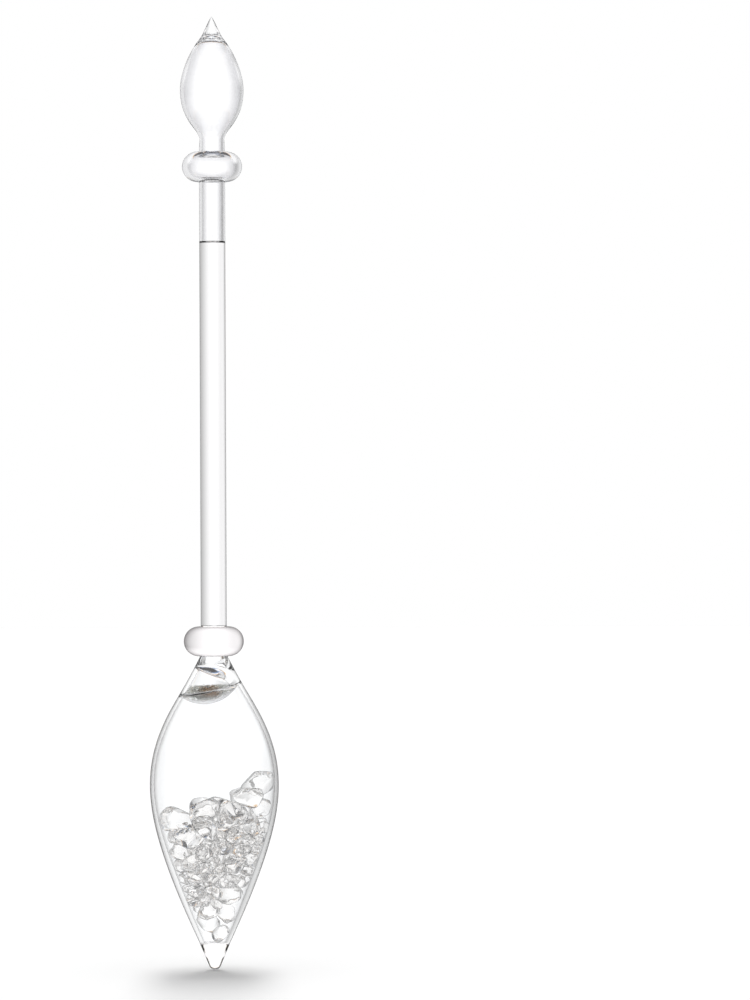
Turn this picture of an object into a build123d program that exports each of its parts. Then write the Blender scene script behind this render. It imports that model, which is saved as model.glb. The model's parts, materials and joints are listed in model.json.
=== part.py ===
"""Crystal water wand: a sealed blown-glass vial of rock-crystal chips on a long glass stem.

Millimetres, +Z up.  The origin is the lowest point of the vial's tip, on the wand's axis.
The heap of chips is higher towards +X, and the small upper chamber leans the same way.
"""
from build123d import *
from itertools import combinations
import math
import os
import numpy as np

# ---------------------------------------------------------------- driving dimensions
TOTAL_LENGTH = 330.0
STEM_RADIUS = 4.5                  # a standard 9 mm glass rod
TUBE_WALL = 1.1                    # wall of the hollow glass above the rod
COLLAR_RADIUS = 10.4

# heights of the welds, from the tip upwards
FLOOR_Z = 9.8                      # solid tip below, hollow vial above
CHAMBER_WELD_Z = 98.0              # thin wall below, thick neck glass above
WAIST_Z = 108.6                    # neck glass to lower collar
ROD_BOTTOM_Z = 118.8
ROD_TOP_Z = 252.2
UPPER_COLLAR_Z = 272.9
UPPER_COLLAR_TOP_Z = 283.1
FINIAL_SOLID_Z = 323.7             # hollow drop below, solid point above

# outlines as (radius, height); a smooth curve runs through each list
TIP_ROUNDING = 2.1
TIP_TOP_RADIUS = 5.5
WAIST_RADIUS = 4.7
VIAL_OUTLINE = [(TIP_TOP_RADIUS, FLOOR_Z), (12.25, 25), (18.45, 42), (21.4, 54), (22.3, 64.5),
                (20.8, 76), (16.15, 88), (9.85, 99), (WAIST_RADIUS, WAIST_Z)]
VIAL_END_SLOPES = (0.466, -0.504)  # radius gained per height at the two ends
# how much narrower the hollow is than the outline, at the same heights
VIAL_INSET = [1.7, 2.0, 1.7, 1.4, 1.25, 1.3, 1.5, 1.6, 1.9]

# the small upper chamber: the bowl is a blown pocket, off the axis as the real one is
BOWL_CENTRE = (-3.4, 0, 105.0)
BOWL_RADIUS = 13.3
BOWL_WALL = 1.0
DOME_CENTRE = (-2.6, 0, 94.4)
DOME_RADIUS = 10.0
BUBBLE_CORNERS = [(-0.6, -0.6, 104.9), (3.0, 0, 107.7), (3.3, 0, 103.0), (1.8, 2.2, 104.8)]

UPPER_COLLAR_LIP = 1.4             # height of tube wall left above and below the ring's hollow
UPPER_COLLAR_WALL = 2.2

FINIAL_NECK_RADIUS = 4.3
FINIAL_OUTLINE = [(FINIAL_NECK_RADIUS, 287.6), (7.0, 292.3), (10.0, 298), (10.95, 305.5), (8.9, 314),
                  (5.1, 321), (3.2, FINIAL_SOLID_Z)]
FINIAL_TIP_OUTLINE = [(3.2, FINIAL_SOLID_Z), (1.65, 327.0), (0.65, 329.0)]
FINIAL_FOOT_SLOPE = 0.12           # radius gained per height where the drop starts
FINIAL_TIP_SLOPE = -0.62
FINIAL_TOP_WALL = 0.9              # between the hollow and the solid point

# the heap of chips
HEAP_HEIGHT = 54.0                 # of its surface on the axis
HEAP_SLOPE = 0.60                  # rise per unit of X
FILLING = 0.66                     # share of the room that the chips take
GAP = 0.3                          # kept round a chip that may be loose
PACKED_GAP = 0.12                  # kept between packed chips, and between them and the glass
# shortest and longest half length of the chips, and their thickness, from each height upwards
CHIP_SIZES = {FLOOR_Z: (4.0, 5.0, 0.60), 27: (2.6, 4.4, 0.58), 44: (5.2, 7.6, 0.50)}
CHIP_BREADTHS = (0.66, 0.9)        # as a share of the length
THICKNESS_SPREAD = (0.8, 1.2)
CHIP_TILT = 0.7                    # most that a chip leans or rolls at first, in radians
CHIP_SEED = 53
TOP_LAYER = 10.0                   # depth of the layer that may hold loose chips
SIDE_BY_SIDE = 0.7                 # chips parted by a steeper plane than this lie side by side
SETTLING_STEPS = 500
SETTLING_FALL = 0.05
FALLING_SHARE = 0.8                # of the steps; in the rest the chips only make room
PUSH_SHARE = 0.3                   # of an overlap that one step takes away
WORN_FACES = 20
FACE_SCATTER = 0.16
LEAST_GROUND = 0.84                # how far in the most worn face is ground
GRID_STEP = 0.3                    # of the grid on which loose chips are found
CURVE_STEPS = 400
WALL_RINGS = 25
WALL_PLANES = 48
OWN_NODES = 33                     # packed chips with a node each; the smallest share nodes
SMALL_CHIP_LAYERS = 5
LEAST_TRAVEL = 2.0                 # a chip with less room above it counts as packed
HEADROOM_STEP = 0.5

# the splinters in the upper chamber
SPLINTER_PITCH = 1.9
SPLINTER_SIZES = (0.6, 1.0)        # half lengths, as a share of the longest that fits the pitch
SPLINTER_TOP_Z = 98.4
SPLINTER_SEED = 5


# ---------------------------------------------------------------- glass
def revolved(*edges):
    """Solid of revolution about Z from edges drawn as (radius, height)."""
    outline = Plane.XZ * make_face(Curve() + list(edges))
    return revolve(outline, Axis.Z)


def vial_curve(inset):
    """The vial's outline, or that of its hollow if an inset is given for each point."""
    points = [(radius - less, height) for (radius, height), less in zip(VIAL_OUTLINE, inset)]
    tangents = [(slope, 1) for slope in VIAL_END_SLOPES]
    return Spline(*points, tangents=tangents)


def vial_glass():
    """Solid spindle from the floor of the hollow to the waist, before it is hollowed."""
    side = vial_curve([0] * len(VIAL_OUTLINE))
    ends = Polyline((WAIST_RADIUS, WAIST_Z), (0, WAIST_Z), (0, FLOOR_Z), (TIP_TOP_RADIUS, FLOOR_Z))
    return revolved(side, ends)


def vial_hollow():
    """Everything inside the vial's wall, the upper chamber and its bowl included."""
    side = vial_curve(VIAL_INSET)
    start = side @ 0
    end = side @ 1
    ends = Polyline((end.X, end.Y), (0, end.Y), (0, start.Y), (start.X, start.Y))
    return revolved(side, ends)


def above(shape, height):
    return split(shape, bisect_by=Plane.XY.offset(height), keep=Keep.TOP)


def below(shape, height):
    return split(shape, bisect_by=Plane.XY.offset(height), keep=Keep.BOTTOM)


def ball(centre, radius):
    return Pos(*centre) * Sphere(radius)


def air_bubble():
    """The four-cornered bubble caught where the filling hole was closed."""
    corners = [Vector(*corner) for corner in BUBBLE_CORNERS]
    faces = []
    for left_out in range(len(corners)):
        three = [corner for index, corner in enumerate(corners) if index != left_out]
        faces.append(Face(Wire.make_polygon(three, close=True)))
    return Solid(Shell(faces))


def make_vial_tip():
    """Solid point: a cone that ends in a rounding tangent to it."""
    lean = math.atan(VIAL_END_SLOPES[0])
    tangent_radius = TIP_ROUNDING * math.cos(lean)
    tangent_height = TIP_ROUNDING * (1 - math.sin(lean))
    halfway = math.radians(45) + lean / 2
    middle = (TIP_ROUNDING * math.sin(halfway), TIP_ROUNDING * (1 - math.cos(halfway)))
    nose = ThreePointArc((0, 0), middle, (tangent_radius, tangent_height))
    rest = Polyline((tangent_radius, tangent_height), (TIP_TOP_RADIUS, FLOOR_Z), (0, FLOOR_Z), (0, 0))
    return revolved(nose, rest)


def make_vial_parts():
    """The vial's wall, the bowl across it, and the thick glass of the neck."""
    hollow = vial_hollow()
    bowl_outside = ball(BOWL_CENTRE, BOWL_RADIUS)
    bowl_inside = ball(BOWL_CENTRE, BOWL_RADIUS - BOWL_WALL)
    dome = ball(DOME_CENTRE, DOME_RADIUS)
    wall = vial_glass() - hollow
    # the bowl is the shell between two balls, below the chamber's weld
    bowl = below(hollow & (bowl_outside - bowl_inside), CHAMBER_WELD_Z)
    chamber_air = hollow & bowl_inside & dome
    neck = above(vial_glass(), CHAMBER_WELD_Z) - chamber_air - air_bubble()
    return below(wall, CHAMBER_WELD_Z), bowl, neck


def ring_arc(bottom, top, radius, foot_radius):
    """Rounded outline of a collar from its lower to its upper foot."""
    middle = (bottom + top) / 2
    return ThreePointArc((foot_radius, bottom), (radius, middle), (foot_radius, top))


def make_lower_collar():
    side = ring_arc(WAIST_Z, ROD_BOTTOM_Z, COLLAR_RADIUS, WAIST_RADIUS)
    ends = Polyline((WAIST_RADIUS, ROD_BOTTOM_Z), (0, ROD_BOTTOM_Z), (0, WAIST_Z), (WAIST_RADIUS, WAIST_Z))
    return revolved(side, ends)


def make_stem_rod():
    length = ROD_TOP_Z - ROD_BOTTOM_Z
    base = Pos(0, 0, ROD_BOTTOM_Z + length / 2)
    return base * Cylinder(STEM_RADIUS, length)


def make_upper_tube():
    length = UPPER_COLLAR_Z - ROD_TOP_Z
    base = Pos(0, 0, ROD_TOP_Z + length / 2)
    bore = STEM_RADIUS - TUBE_WALL
    return base * (Cylinder(STEM_RADIUS, length) - Cylinder(bore, length))


def make_upper_collar():
    """Ring pushed out of the tube's own wall, so that it is hollow inside."""
    bore = STEM_RADIUS - TUBE_WALL
    outside = ring_arc(UPPER_COLLAR_Z, UPPER_COLLAR_TOP_Z, COLLAR_RADIUS, STEM_RADIUS)
    hollow_bottom = UPPER_COLLAR_Z + UPPER_COLLAR_LIP
    hollow_top = UPPER_COLLAR_TOP_Z - UPPER_COLLAR_LIP
    inside = ring_arc(hollow_bottom, hollow_top, COLLAR_RADIUS - UPPER_COLLAR_WALL, bore)
    lower = Polyline((STEM_RADIUS, UPPER_COLLAR_Z), (bore, UPPER_COLLAR_Z), (bore, hollow_bottom))
    upper = Polyline((bore, hollow_top), (bore, UPPER_COLLAR_TOP_Z), (STEM_RADIUS, UPPER_COLLAR_TOP_Z))
    return revolved(outside, inside, lower, upper)


def make_finial_bulb():
    """Neck and blown drop, with a rounded end to the hollow below the solid point."""
    first = FINIAL_OUTLINE[0]
    last = FINIAL_OUTLINE[-1]
    foot_direction = (FINIAL_FOOT_SLOPE, 1)
    drop = Spline(*FINIAL_OUTLINE, tangents=[foot_direction, (FINIAL_TIP_SLOPE, 1)])
    neck = Line((STEM_RADIUS, UPPER_COLLAR_TOP_Z), first)
    bore = STEM_RADIUS - TUBE_WALL
    hollow_points = [(bore, first[1])]
    hollow_points += [(radius - TUBE_WALL, height) for radius, height in FINIAL_OUTLINE[1:-1]]
    hollow_top = FINIAL_SOLID_Z - FINIAL_TOP_WALL
    hollow = Spline(*hollow_points, (0, hollow_top), tangents=[foot_direction, (-1, 0.05)])
    lower = Polyline((STEM_RADIUS, UPPER_COLLAR_TOP_Z), (bore, UPPER_COLLAR_TOP_Z), hollow_points[0])
    upper = Polyline((0, hollow_top), (0, FINIAL_SOLID_Z), last)
    return revolved(neck, drop, upper, hollow, lower)


def make_finial_tip():
    foot = FINIAL_TIP_OUTLINE[0]
    direction = (FINIAL_TIP_SLOPE, 1)
    side = Spline(*FINIAL_TIP_OUTLINE, (0, TOTAL_LENGTH), tangents=[direction, direction])
    ends = Polyline((0, TOTAL_LENGTH), (0, foot[1]), foot)
    return revolved(side, ends)


# ---------------------------------------------------------------- chips
def rotation(heading, lean, roll):
    """Rotation matrix: rolled about X, leaned about Y, then turned to a heading about Z."""
    ch, sh = math.cos(heading), math.sin(heading)
    cl, sl = math.cos(lean), math.sin(lean)
    cr, sr = math.cos(roll), math.sin(roll)
    about_z = np.array([[ch, -sh, 0], [sh, ch, 0], [0, 0, 1]])
    about_y = np.array([[cl, 0, sl], [0, 1, 0], [-sl, 0, cl]])
    about_x = np.array([[1, 0, 0], [0, cr, -sr], [0, sr, cr]])
    return about_z @ about_y @ about_x


class Vial:
    """The vial's hollow, which is convex, so the planes that touch its wall bound it."""

    def __init__(self):
        curve = vial_curve(VIAL_INSET)
        points = [curve @ (step / CURVE_STEPS) for step in range(CURVE_STEPS + 1)]
        self.z = np.array([point.Y for point in points])
        self.r = np.array([point.X for point in points])
        normals = [(0.0, 0.0, -1.0)]
        offsets = [-FLOOR_Z]
        for step in range(0, CURVE_STEPS, CURVE_STEPS // WALL_RINGS):
            along = curve % (step / CURVE_STEPS)
            out, up = along.Y, -along.X
            for turn in range(WALL_PLANES):
                angle = 2 * math.pi * turn / WALL_PLANES
                normals.append((out * math.cos(angle), out * math.sin(angle), up))
                offsets.append(out * self.r[step] + up * self.z[step])
        self.normals = np.array(normals)
        self.offsets = np.array(offsets)

    def radius(self, height):
        return np.interp(height, self.z, self.r)

    def volume_below(self, heights):
        """Volume of the hollow from its floor to each height."""
        slices = np.diff(self.z) * math.pi * self.r[1:] ** 2
        return np.interp(heights, self.z[1:], np.cumsum(slices))


class Heap:
    """Ellipsoids shaken together in the vial, then cut into worn chips that stay clear."""

    def __init__(self, seed):
        self.rng = np.random.default_rng(seed)
        self.vial = Vial()
        self.choose_sizes()
        for step in range(SETTLING_STEPS):
            falling = step < SETTLING_STEPS * FALLING_SHARE
            self.settle(SETTLING_FALL if falling else 0.0)

    def choose_sizes(self):
        """Half sizes and first places, from the bottom up until the heap is full."""
        levels = np.linspace(FLOOR_Z, HEAP_HEIGHT, 200)
        room = FILLING * self.vial.volume_below(levels)
        sizes = []
        centres = []
        turns = []
        filled = 0.0
        while filled < room[-1]:
            level = float(np.interp(filled, room, levels))
            shortest, longest, thickness = [CHIP_SIZES[start] for start in CHIP_SIZES if start <= level][-1]
            length = self.rng.uniform(shortest, longest)
            thickness *= self.rng.uniform(*THICKNESS_SPREAD)
            half = length * np.array([1.0, self.rng.uniform(*CHIP_BREADTHS), thickness])
            angle = self.rng.uniform(0, 2 * math.pi)
            out = max(self.vial.radius(level) - length, 0.2) * math.sqrt(self.rng.uniform(0, 1))
            sizes.append(half)
            x = out * math.cos(angle)
            centres.append((x, out * math.sin(angle), level + half[2] + HEAP_SLOPE * x))
            heading = self.rng.uniform(0, 2 * math.pi)
            turns.append(rotation(heading, *self.rng.uniform(-CHIP_TILT, CHIP_TILT, 2)))
            filled += 4 / 3 * math.pi * half.prod()
        self.half = np.array(sizes)
        self.centre = np.array(centres)
        self.turn = np.array(turns)
        # maps a step from a centre to one on the unit ball
        self.unit = self.turn.transpose(0, 2, 1) / self.half[:, :, None]
        # a third of the wall's planes is enough to shake against
        self.wall = self.vial.normals[::3]
        self.wall_offsets = self.vial.offsets[::3] - PACKED_GAP
        across = np.einsum("ia,nab->nib", self.wall, self.turn) * self.half[:, None]
        self.wall_support = np.linalg.norm(across, axis=2)

    def towards(self):
        """For each pair: the direction, the distance, and the first one's reach that way."""
        step = self.centre[None] - self.centre[:, None]
        distance = np.linalg.norm(step, axis=2)
        np.fill_diagonal(distance, 1.0)
        direction = step / distance[:, :, None]
        scaled = np.linalg.norm(np.einsum("iab,ijb->ija", self.unit, direction), axis=2)
        reach = 1 / np.maximum(scaled, 1e-6)
        return direction, distance, reach

    def settle(self, fall):
        """One step: down the slope of the heap, apart from each other, in from the wall."""
        lean = math.atan(HEAP_SLOPE)
        self.centre += fall * np.array([math.sin(lean), 0, -math.cos(lean)])
        direction, distance, reach = self.towards()
        overlap = np.maximum(reach + reach.T - distance, 0)
        np.fill_diagonal(overlap, 0)
        self.centre -= PUSH_SHARE * (overlap[:, :, None] * direction).sum(axis=1)
        for _ in range(2):
            beyond = self.centre @ self.wall.T + self.wall_support - self.wall_offsets
            worst = beyond.argmax(axis=1)
            push = np.maximum(beyond.max(axis=1), 0)
            self.centre -= push[:, None] * self.wall[worst]

    def chips(self):
        """The worn chips, from the lowest to the highest."""
        direction, distance, reach = self.towards()
        order = self.centre[:, 2].argsort()
        return [self.worn(index, direction, distance, reach) for index in order]

    def worn(self, index, direction, distance, reach):
        """One chip: its ellipsoid faceted, and trimmed clear of neighbours and glass."""
        centre = self.centre[index]
        on_top = self.centre[:, 2] - HEAP_SLOPE * self.centre[:, 0] > HEAP_HEIGHT - TOP_LAYER
        gaps = np.where(on_top | on_top[index], GAP, PACKED_GAP)
        limits = []
        near = distance[index] < self.half[index].max() + self.half.max(axis=1) + 2 * GAP
        for other in np.flatnonzero(near):
            if other == index:
                continue
            share = reach[index, other] / (reach[index, other] + reach[other, index])
            point = centre + direction[index, other] * distance[index, other] * share
            normal = self.steepest(index, point) - self.steepest(other, point)
            upright = abs(normal[2]) < SIDE_BY_SIDE * np.linalg.norm(normal)
            if on_top[index] and on_top[other] and upright:
                # side by side on top of the heap: neither may lie over the other
                normal[2] = 0
            normal /= np.linalg.norm(normal)
            limits.append((normal, normal @ (point - centre) - gaps[other] / 2))
        for normal, offset in zip(self.vial.normals, self.vial.offsets):
            limits.append((normal, offset - gaps[index] - normal @ centre))
        return Chip(centre, self.half[index].max(), self.worn_faces(index), limits)

    def steepest(self, index, point):
        """Outward direction of an ellipsoid's level surface at a point."""
        matrix = self.unit[index]
        outward = matrix.T @ (matrix @ (point - self.centre[index]))
        return outward / np.linalg.norm(outward)

    def worn_faces(self, index):
        """Faces spread evenly about the ellipsoid, each ground in by a little."""
        step = np.arange(WORN_FACES) + 0.5
        height = 1 - 2 * step / WORN_FACES
        angle = math.pi * (1 + math.sqrt(5)) * step
        flat = np.sqrt(1 - height ** 2)
        normals = np.stack([flat * np.cos(angle), flat * np.sin(angle), height], axis=1)
        normals += self.rng.normal(0, FACE_SCATTER, normals.shape)
        normals /= np.linalg.norm(normals, axis=1)[:, None]
        touch = np.linalg.norm(normals * self.half[index], axis=1)
        ground = self.rng.uniform(LEAST_GROUND, 1.0, WORN_FACES)
        return list(zip(normals @ self.turn[index].T, touch * ground))


class Chip:
    """A convex chip: what is on the inner side of its faces, measured from its centre."""

    def __init__(self, centre, half_length, worn, limits):
        self.centre = centre
        self.half_length = half_length
        self.normals, self.reach = (np.array(values) for values in zip(*worn))
        corners = self.corners()
        cutting = [limit for limit in limits if (corners @ limit[0]).max() > limit[1]]
        if cutting:
            normals, reach = (np.array(values) for values in zip(*cutting))
            self.normals = np.vstack([self.normals, normals])
            self.reach = np.concatenate([self.reach, reach])
            corners = self.corners()
        touching = (np.abs(corners @ self.normals.T - self.reach) < 1e-6).sum(axis=0)
        self.normals = self.normals[touching >= 3]
        self.reach = self.reach[touching >= 3]
        self.corner_points = corners + centre

    def corners(self):
        """Corners of the chip: where three faces meet on the inner side of all the rest."""
        threes = np.array(list(combinations(range(len(self.reach)), 3)))
        matrices = self.normals[threes]
        solvable = np.abs(np.linalg.det(matrices)) > 1e-4
        reaches = self.reach[threes][solvable]
        points = np.linalg.solve(matrices[solvable], reaches[:, :, None])[:, :, 0]
        inside = (points @ self.normals.T <= self.reach + 1e-6).all(axis=1)
        return points[inside]

    def surfaces(self, x, y, margin):
        """Lower and upper height of the chip, grown by a margin, over the points x, y."""
        room = self.reach + margin - np.outer(x - self.centre[0], self.normals[:, 0])
        room -= np.outer(y - self.centre[1], self.normals[:, 1])
        rise = self.normals[:, 2]
        upright = rise == 0
        limit = room / np.where(upright, 1, rise)
        upper = np.where(rise > 0, limit, np.inf).min(axis=1)
        lower = np.where(rise < 0, limit, -np.inf).max(axis=1)
        beside = (room[:, upright] < 0).any(axis=1)
        upper[beside] = -np.inf
        return lower + self.centre[2], upper + self.centre[2]

    def headroom(self, vial):
        """How far the chip can rise before it meets the wall or the bowl above."""
        rise = 0.0
        while True:
            lift = np.array([0, 0, rise + HEADROOM_STEP])
            corners = self.corner_points + lift
            bowl = np.array(BOWL_CENTRE) - self.centre - lift
            apart = (self.normals @ bowl - self.reach).max()
            out = np.hypot(corners[:, 0], corners[:, 1]) + GAP
            if apart < BOWL_RADIUS + GAP or (out > vial.radius(corners[:, 2])).any():
                return rise
            rise += HEADROOM_STEP

    def solid(self):
        """The chip as a solid, cut from a block by its faces."""
        side = 3 * self.half_length
        block = Pos(*self.centre) * Box(side, side, side)
        for normal, reach in zip(self.normals, self.reach):
            plane = Plane(origin=tuple(self.centre + normal * reach), z_dir=tuple(normal))
            block = split(block, bisect_by=plane, keep=Keep.BOTTOM)
        return block.solid()


def uncovered(chips):
    """Numbers of the chips with nothing above them, found on a grid over the vial."""
    reach = max(radius for radius, height in VIAL_OUTLINE)
    side = np.arange(-reach, reach, GRID_STEP)
    x, y = (axis.ravel() for axis in np.meshgrid(side, side))
    upper = []
    for chip in chips:
        low, high = chip.surfaces(x, y, GAP / 2)
        upper.append(np.where(low < high, high, -np.inf))
    highest = np.array(upper).argmax(axis=0)
    return [index for index, surface in enumerate(upper)
            if (highest[np.isfinite(surface)] == index).all()]


def sorted_chips():
    """Chips by node name, and the travel of each loose one by its node name."""
    heap = Heap(CHIP_SEED)
    chips = heap.chips()
    groups = {}
    travel = {}
    for index in uncovered(chips):
        room = chips[index].headroom(heap.vial)
        if room >= LEAST_TRAVEL:
            name = f"top_crystal_{len(travel) + 1:02d}"
            groups[name] = [chips[index]]
            travel[name] = room
    loose = [chip for group in groups.values() for chip in group]
    packed = [chip for chip in chips if chip not in loose]
    by_size = sorted(packed, key=lambda chip: -chip.half_length)
    large = [chip for chip in packed if chip in by_size[:OWN_NODES]]
    small = [chip for chip in packed if chip not in large]
    for number, chip in enumerate(large, start=1):
        groups[f"crystal_{number:02d}"] = [chip]
    for number, layer in enumerate(np.array_split(np.arange(len(small)), SMALL_CHIP_LAYERS), start=1):
        groups[f"small_chips_{number}"] = [small[index] for index in layer]
    return groups, travel


# ---------------------------------------------------------------- splinters
def splinter(centre, half_sizes, turn):
    """One tiny crystal: an eight-sided bipyramid."""
    arms = turn * half_sizes
    faces = []
    for x_side in (-1, 1):
        for y_side in (-1, 1):
            for z_side in (-1, 1):
                signs = (x_side, y_side, z_side)
                corners = [Vector(*(centre + sign * arms[:, axis])) for axis, sign in enumerate(signs)]
                faces.append(Face(Wire.make_polygon(corners, close=True)))
    return Solid(Shell(faces))


def make_splinters():
    """Splinters that fill the bowl of the small upper chamber, level on top."""
    rng = np.random.default_rng(SPLINTER_SEED)
    vial = Vial()
    bowl = np.array(BOWL_CENTRE)
    longest = SPLINTER_PITCH / 2 - 0.04
    across = np.arange(-6, 7) * SPLINTER_PITCH
    layers = np.arange(SPLINTER_TOP_Z - longest, bowl[2] - BOWL_RADIUS, -SPLINTER_PITCH)
    solids = []
    for z in layers:
        for x in across:
            for y in across:
                place = np.array([x, y, z])
                in_bowl = np.linalg.norm(place - bowl) + longest + 0.1 < BOWL_RADIUS - BOWL_WALL
                in_wall = math.hypot(x, y) + longest + 0.4 < vial.radius(z)
                half_sizes = longest * rng.uniform(*SPLINTER_SIZES, 3)
                turn = rotation(*rng.uniform(0, math.pi, 3))
                if in_bowl and in_wall:
                    solids.append(splinter(place, half_sizes, turn))
    return Compound(solids)


def main():
    os.makedirs("parts", exist_ok=True)
    wall, bowl, neck = make_vial_parts()
    glass = {
        "vial_tip": make_vial_tip(),
        "vial_body": wall,
        "chamber_bowl": bowl,
        "neck_gather": neck,
        "lower_collar": make_lower_collar(),
        "stem_rod": make_stem_rod(),
        "upper_tube": make_upper_tube(),
        "upper_collar": make_upper_collar(),
        "finial_bulb": make_finial_bulb(),
        "finial_tip": make_finial_tip(),
    }
    for name, shape in glass.items():
        export_step(shape, f"parts/{name}.step")
    groups, travel = sorted_chips()
    for name, chips in groups.items():
        solids = [chip.solid() for chip in chips]
        export_step(solids[0] if len(solids) == 1 else Compound(solids), f"parts/{name}.step")
    export_step(make_splinters(), "parts/diamond_splinters.step")
    for name, room in travel.items():
        print(f"{name} can rise {room} mm")


if __name__ == "__main__":
    main()
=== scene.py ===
import json
import math

import bmesh
import bpy
import numpy as np
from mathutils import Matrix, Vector


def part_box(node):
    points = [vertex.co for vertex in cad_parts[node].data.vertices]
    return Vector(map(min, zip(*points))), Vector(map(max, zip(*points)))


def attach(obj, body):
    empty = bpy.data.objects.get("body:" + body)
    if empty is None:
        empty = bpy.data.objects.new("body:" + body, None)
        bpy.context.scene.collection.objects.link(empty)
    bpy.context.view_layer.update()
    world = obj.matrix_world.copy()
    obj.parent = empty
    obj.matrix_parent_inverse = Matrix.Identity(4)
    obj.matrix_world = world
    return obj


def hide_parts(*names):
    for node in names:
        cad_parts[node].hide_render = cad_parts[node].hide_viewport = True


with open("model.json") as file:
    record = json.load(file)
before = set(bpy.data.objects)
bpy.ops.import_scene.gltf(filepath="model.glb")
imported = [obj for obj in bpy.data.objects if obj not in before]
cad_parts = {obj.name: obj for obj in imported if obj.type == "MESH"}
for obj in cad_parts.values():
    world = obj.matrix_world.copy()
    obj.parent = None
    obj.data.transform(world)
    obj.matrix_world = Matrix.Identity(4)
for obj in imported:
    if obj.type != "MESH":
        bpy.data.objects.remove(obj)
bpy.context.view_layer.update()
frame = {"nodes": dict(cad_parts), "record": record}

MM = 0.001
WAND = "wand"                     # the body that all the glass rides on


# ------------------------------------------------------------------ sizes, in millimetres
def height(node, end):
    """Lowest (end 0) or highest (end 1) point of a CAD node, in millimetres."""
    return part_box(node)[end].z / MM


# heights of the welds and of the wand's top, and two radii, from the frame
TIP_TOP_Z = height("vial_tip", 1)
WAIST_Z = height("neck_gather", 1)
ROD_BOTTOM_Z = height("stem_rod", 0)
ROD_TOP_Z = height("stem_rod", 1)
UPPER_COLLAR_Z = height("upper_tube", 1)
UPPER_COLLAR_TOP_Z = height("finial_bulb", 0)
FINIAL_SOLID_Z = height("finial_tip", 0)
TOTAL_LENGTH = height("finial_tip", 1)
STEM_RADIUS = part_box("stem_rod")[1].x / MM
COLLAR_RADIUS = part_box("lower_collar")[1].x / MM

TUBE_WALL = 1.1                   # of the upper tube and the finial
BORE_RADIUS = STEM_RADIUS - TUBE_WALL
TIP_ROUNDING = 2.1
TIP_TOP_RADIUS = 5.5
WAIST_RADIUS = 4.7
# outlines are (radius, height); an end slope is the change of radius with height
VIAL_OUTLINE = [(TIP_TOP_RADIUS, TIP_TOP_Z), (12.25, 25), (18.45, 42), (21.4, 54), (22.3, 64.5),
                (20.8, 76), (16.15, 88), (9.85, 99), (WAIST_RADIUS, WAIST_Z)]
VIAL_END_SLOPES = (0.466, -0.504)
VIAL_INSET = [1.7, 2.0, 1.7, 1.4, 1.25, 1.3, 1.5, 1.6, 1.9]    # how much narrower the inside is
BOWL_CENTRE = (-3.4, 0, 105.0)
BOWL_RADIUS = 13.3
BOWL_WALL = 0.6
DOME_CENTRE = (-2.6, 0, 94.4)
DOME_RADIUS = 10.0
CHAMBER_MIDDLE = (-2.5, 0, 98.5)
BUBBLE_CORNERS = [(-0.6, -0.6, 104.9), (3.0, 0, 107.7), (3.3, 0, 103.0), (1.8, 2.2, 104.8)]
UPPER_COLLAR_LIP = 1.4            # height of tube wall left above and below the ring's hollow
UPPER_COLLAR_WALL = 2.2           # where the ring is widest
FINIAL_OUTLINE = [(4.3, 287.6), (7.0, 292.3), (10.0, 298), (10.95, 305.5), (8.9, 314),
                  (5.1, 321), (3.2, FINIAL_SOLID_Z)]
FINIAL_END_SLOPES = (0.12, -0.62)
FINIAL_HOLLOW_SHORT = 0.9         # how far the finial's hollow ends below its solid tip
FINIAL_HOLLOW_END = (-1, 0.05)    # direction in which its outline reaches the axis
FINIAL_TIP_OUTLINE = [(3.2, FINIAL_SOLID_Z), (1.65, 327.0), (0.65, 329.0), (0, TOTAL_LENGTH)]
FINIAL_TIP_SLOPES = (-0.48, -0.62)
RIM_ROUNDING = 0.3                # of the crease where the bowl meets the vial's wall
WELD_GAP = 0.005                  # between the caps of two glass pieces, so that they don't share a plane
GROOVE = 0.3                      # round the foot of the rod, where it is fused to the collar
BORE_DISH = 0.6                   # depth of the shallow dish in which the tube's bore ends
BORE_DISH_RIM = (-0.3, -1)        # direction in which the dish leaves the bore

# how sharp the creases between several surfaces stay: the higher, the sharper
CHAMBER_SHARPNESS = 34
BUBBLE_SHARPNESS = 5
CHIP_SHARPNESS = 24

# how finely the pieces are divided
SEGMENTS = 160                    # around the axis
LONG_STEPS = 120                  # along the vial's outside
CURVE_STEPS = 70                  # along the finial
ROD_STEPS = 60
COLLAR_STEPS = 40
COLLAR_HOLLOW_STEPS = 30
POINT_STEPS = 24                  # along the finial's tip
SHORT_STEPS = 12
TIP_ARC_STEPS, TIP_SIDE_STEPS, TIP_CAP_STEPS = 14, 8, 6
FINIAL_NECK_STEPS = 5
WALL_STEPS, RIM_STEPS, BOWL_STEPS = 110, 12, 26
HOLLOW_SAMPLES = 400              # of the hollow's outline, to look radii up in
HALVINGS = 40                     # in a search by halving
CHAMBER_DETAIL = 6                # subdivisions of a ball
CHIP_DETAIL = 4
SHARP_ANGLE = math.radians(35)    # edges sharper than this aren't smoothed over
ON_AXIS = 1e-6                    # a ring with a smaller radius is a single point


# ------------------------------------------------------------------ materials
def new_material(name):
    """An empty material, with its nodes and links."""
    material = bpy.data.materials.new(name)
    material.use_nodes = True
    nodes = material.node_tree.nodes
    nodes.clear()
    return material, nodes, material.node_tree.links


def colour_mix(nodes, links, factor, first, second):
    """Output of a mix of two colours, each given as a colour or as another node's output."""
    mix = nodes.new("ShaderNodeMix")
    mix.data_type = "RGBA"
    links.new(factor, mix.inputs["Factor"])
    for name, value in (("A", first), ("B", second)):
        if isinstance(value, tuple):
            mix.inputs[name].default_value = value
        else:
            links.new(value, mix.inputs[name])
    return mix.outputs["Result"]


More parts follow.
